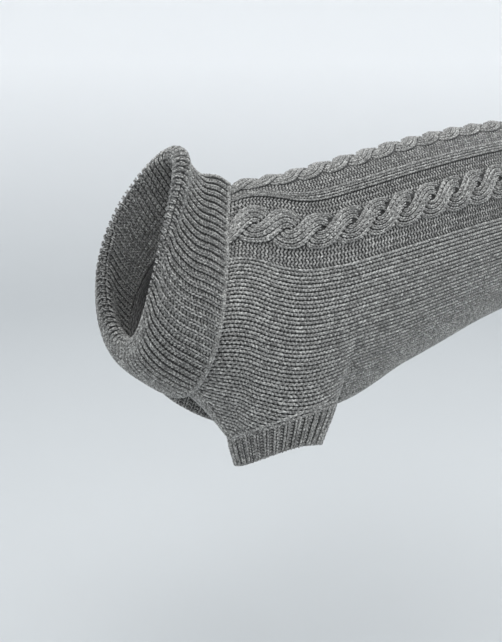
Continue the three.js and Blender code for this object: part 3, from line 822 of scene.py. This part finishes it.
def back_bands():
    """The purl bands and the narrow ribs between the cables."""
    batches = []
    for sign in (1, -1):
        for start, end, count in PURL_BANDS:
            batches += purl(*back_field(sign * wales_between(start, end, count), -PURL_DEPTH))
        rib = wales_between(PLAIN_RIB_MIDDLE - PLAIN_RIB_HALF, PLAIN_RIB_MIDDLE + PLAIN_RIB_HALF, 2)
        batches += knit(*back_field(sign * rib, RIB_HEIGHT - PURL_DEPTH))
    return lay("back_bands", batches, YARN, seed=5)


def cable(name, middle):
    """A rope cable: two strands of knit that cross over each other."""
    places = course_places(COURSES)
    along = places[:, None] * BODY_LENGTH
    batches = []
    for k, sign in enumerate((1, -1)):
        spots = wales_between(-1, 1, STRAND_WALES)
        off = CABLE_HALF * (strand_middle(along, sign) + strand_half(along) * spots)
        heights = strand_heights(along, off)
        height = fade(places)[:, None] * heights[k] - STITCH_SINK
        grid = back_points(places, middle + off)
        outward = normals(grid, False, 1)
        grid, outward, course, wale = lifted(grid, outward, height, False)
        shown = ~strand_covered(along, off, sign)
        batches += keep(knit(grid, outward, course, wale, CABLE_PLACE, CABLE_LEAN), shown)
    return lay(name, batches, YARN, sides=5, seed=7)


def belly():
    places = np.linspace(0, 1, COURSES + 1)
    grid = belly_points(places, np.linspace(-1, 1, BELLY_WALES + 1))
    outward = normals(grid, False, -1)
    ground = shell("belly_ground", grid - GROUND * outward, grid - WALL * outward, False, SHADE_GROUND_YARN)
    flip_faces(ground)
    grid = belly_points(course_places(COURSES), wales_between(-1, 1, BELLY_WALES))
    outward = normals(grid, False, -1)
    stitches = lay("belly_knit", knit(*lifted(grid, outward, -STITCH_SINK, False)), YARN, seed=9)
    return ground, stitches


def flip_faces(piece):
    piece.data.flip_normals()


def ribbed(name, points, ribs, courses, outward_sign, flip, outer_share, relief):
    """A tube of 1x1 rib: its closed ground, and its stitches. points(rows, shares) gives its surface, and
    relief(rows) the share of the ribs' height that is reached along it."""
    rows = np.linspace(0, 1, courses + 1)
    shares = np.arange(ribs * RIB_STEPS) / (ribs * RIB_STEPS)
    grid = points(rows, shares)
    outward = normals(grid, True, outward_sign)
    profile = rib_profile((shares * ribs) % 1)
    height = relief(rows)[:, None] * profile - GROUND + outer_share * RIB_WALL
    inner = grid + (outer_share - 1) * RIB_WALL * outward
    ground = shell(name + "_ground", grid + outward * height[..., None], inner, True, SHADE_GROUND_YARN)
    if flip:
        flip_faces(ground)

    middles = course_places(courses)
    batches = []
    for share, lay_stitches, level in ((0.5, knit, 1), (0.0, purl, 0)):
        spots = (np.arange(ribs) + share) / ribs
        grid = points(middles, spots)
        outward = normals(grid, True, outward_sign)
        height = relief(middles)[:, None] * level * RIB_HEIGHT - STITCH_SINK - GROOVE_SINK * (1 - level)
        grid, outward, course, wale = lifted(grid, outward, height + outer_share * RIB_WALL, True)
        width = RIB_KNIT_WIDE if level else RIB_PURL_WIDE
        batches += lay_stitches(grid, outward, course, wale * width)
    return ground, batches


def edge_chain(line, outward, run):
    """A bind-off along a closed edge: links of yarn, each over the end of the last."""
    step = wale_steps(line[None], True)[0]
    size = np.linalg.norm(step, axis=-1)
    batches = []
    for side in (-1, 1):
        link = step + side * CHAIN_LEAN * run
        sizes = row_of(link, CHAIN_THICKNESS, CHAIN_WIDTH, CHAIN_OVERLAP * size)
        batches.append((line + side * CHAIN_APART * run, link, outward, sizes))
    return batches


def collar():
    def relief(rows):
        return mix(0.45, 1, ease(rows / 0.12)) * mix(1, 0.5, ease((rows - 0.75) / 0.25))

    ground, batches = ribbed("collar", collar_points, COLLAR_RIBS, COLLAR_COURSES, -1, True, 0.5, relief)
    links = np.arange(2 * COLLAR_RIBS) / (2 * COLLAR_RIBS)
    rows = collar_points(np.array([0.0, 0.03]), links)
    outward = normals(rows, True, -1)[0]
    run = rows[1] - rows[0]
    run /= np.linalg.norm(run, axis=-1, keepdims=True)
    batches += edge_chain(rows[0] + 0.5 * RIB_WALL * outward - 0.2 * run, outward, run)
    return ground, lay("collar_rib", batches, YARN, seed=11)


def cuff(name):
    side = LEGS[name]["side"]

    def points(rows, shares):
        return cuff_points(name, rows, shares)

    def relief(rows):
        return mix(0.3, 0.65, ease(rows / 0.3))

    ground, batches = ribbed(name, points, CUFF_RIBS, CUFF_COURSES, side, side < 0, 0, relief)
    links = np.arange(2 * CUFF_RIBS) / (2 * CUFF_RIBS)
    rows = points(np.array([1.0, 0.94]), links)
    outward = side * normals(rows, True, -1)[0]
    run = rows[1] - rows[0]
    run /= np.linalg.norm(run, axis=-1, keepdims=True)
    batches += edge_chain(rows[0] + 0.5 * run - 0.5 * RIB_WALL * outward, outward, run)
    return ground, lay(name + "_rib", batches, YARN, seed=13 + side)


def hem():
    def relief(rows):
        return ease(rows / 0.2)

    ground, batches = ribbed("hem_band", hem_points, HEM_RIBS, HEM_COURSES, 1, False, 0, relief)
    return ground, lay("hem_band_rib", batches, YARN, seed=17)


def ride(piece):
    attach(piece, "root")
    return piece


def dress():
    """Every piece of the sweater and its place in the frame."""
    back = back_shell()
    on_back = [
        side_knit("left_side_knit", 1), side_knit("right_side_knit", -1), back_bands(),
        cable("cable_middle", 0), cable("cable_left", CABLE_SPACING), cable("cable_right", -CABLE_SPACING),
    ]
    belly_ground, belly_knit = belly()
    collar_ground, collar_rib = collar()
    cuffs = {name: cuff(name) for name in LEGS}
    hem_ground, hem_rib = hem()
    for piece in (back, *on_back, belly_ground, belly_knit):
        ride(piece)
    for piece in (collar_ground, collar_rib, *cuffs["cuff_left"], *cuffs["cuff_right"], hem_ground, hem_rib):
        ride(piece)
    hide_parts("back_panel")
    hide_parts("belly_panel")
    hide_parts("collar")
    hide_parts("hem_band")
    for name, (ground, _) in cuffs.items():
        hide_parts(name)


def backdrop_material():
    """Pale paper, painted darker on the floor and lighter up the wall, as painted shade and light."""
    material = bpy.data.materials.new("pale_backdrop_painted_light")
    material.use_nodes = True
    nodes, links = material.node_tree.nodes, material.node_tree.links
    shader = nodes["Principled BSDF"]
    shader.inputs["Roughness"].default_value = 0.9
    shader.inputs["Specular IOR Level"].default_value = 0.1
    parts = nodes.new("ShaderNodeSeparateXYZ")
    links.new(nodes.new("ShaderNodeTexCoord").outputs["Object"], parts.inputs[0])
    height = nodes.new("ShaderNodeMapRange")
    height.inputs["From Min"].default_value = FLOOR
    height.inputs["From Max"].default_value = BACKDROP_LIT_AT
    links.new(parts.outputs["Z"], height.inputs["Value"])
    tone = nodes.new("ShaderNodeMix")
    tone.data_type = "RGBA"
    tone.inputs["A"].default_value = BACKDROP_SHADED_LOW
    tone.inputs["B"].default_value = BACKDROP_LIT_HIGH
    links.new(height.outputs[0], tone.inputs["Factor"])
    links.new(tone.outputs["Result"], shader.inputs["Base Color"])
    return material


def studio():
    """A pale floor that runs up into a round wall, and soft light."""
    reach, bend, top = 2.6, 1.0, 3.0
    profile = [(0, FLOOR), (reach - bend, FLOOR)]
    for k in range(1, BEND_STEPS + 1):
        angle = math.pi / 2 * k / BEND_STEPS
        profile.append((reach - bend + bend * math.sin(angle), FLOOR + bend - bend * math.cos(angle)))
    profile.append((reach, top))
    turns = STUDIO_TURNS
    points, faces = [], []
    for radius, z in profile:
        for k in range(turns):
            angle = 2 * math.pi * k / turns
            points.append((radius * math.cos(angle), radius * math.sin(angle), z))
    for i in range(len(profile) - 1):
        for k in range(turns):
            j = (k + 1) % turns
            faces.append((i * turns + k, i * turns + j, (i + 1) * turns + j, (i + 1) * turns + k))
    mesh = bpy.data.meshes.new("studio")
    mesh.from_pydata(points, [], faces)
    mesh.shade_smooth()
    mesh.materials.append(backdrop_material())
    collection_object("studio", mesh)

    lamps = (
        ("overhead", (0.1, -0.3, 1.7), 2.2, 30),
        ("front", (-1.2, -1.5, 0.7), 1.4, 11),
        ("rear", (1.4, -0.9, 0.9), 1.2, 6),
    )
    for name, place, size, power in lamps:
        data = bpy.data.lights.new(name, "AREA")
        data.shape = "DISK"
        data.size = size
        data.energy = power
        lamp = collection_object(name, data)
        lamp.location = place
        aim = Vector(LAMPS_AIM) - Vector(place)
        lamp.rotation_euler = aim.to_track_quat("-Z", "Y").to_euler()
    world = bpy.data.worlds.new("studio_air")
    world.use_nodes = True
    world.node_tree.nodes["Background"].inputs["Color"].default_value = (0.9, 0.95, 1.0, 1)
    world.node_tree.nodes["Background"].inputs["Strength"].default_value = 0.5
    bpy.context.scene.world = world
    bpy.context.scene.view_settings.view_transform = "Standard"


def camera():
    """The photograph's view."""
    azimuth, elevation = math.radians(CAMERA_AZIMUTH), math.radians(CAMERA_ELEVATION)
    right = Vector((math.cos(azimuth), math.sin(azimuth), 0))
    back = Vector((
        math.sin(azimuth) * math.cos(elevation),
        -math.cos(azimuth) * math.cos(elevation),
        math.sin(elevation),
    ))
    data = bpy.data.cameras.new("camera")
    data.sensor_width = SENSOR
    data.lens = FOCAL_PIXELS / PHOTO_HEIGHT * SENSOR
    made = collection_object("camera", data)
    turned = Matrix((right, back.cross(right), back)).transposed().to_4x4()
    made.matrix_world = Matrix.Translation(CAMERA_PLACE) @ turned
    bpy.context.scene.camera = made


camera()
dress()
studio()
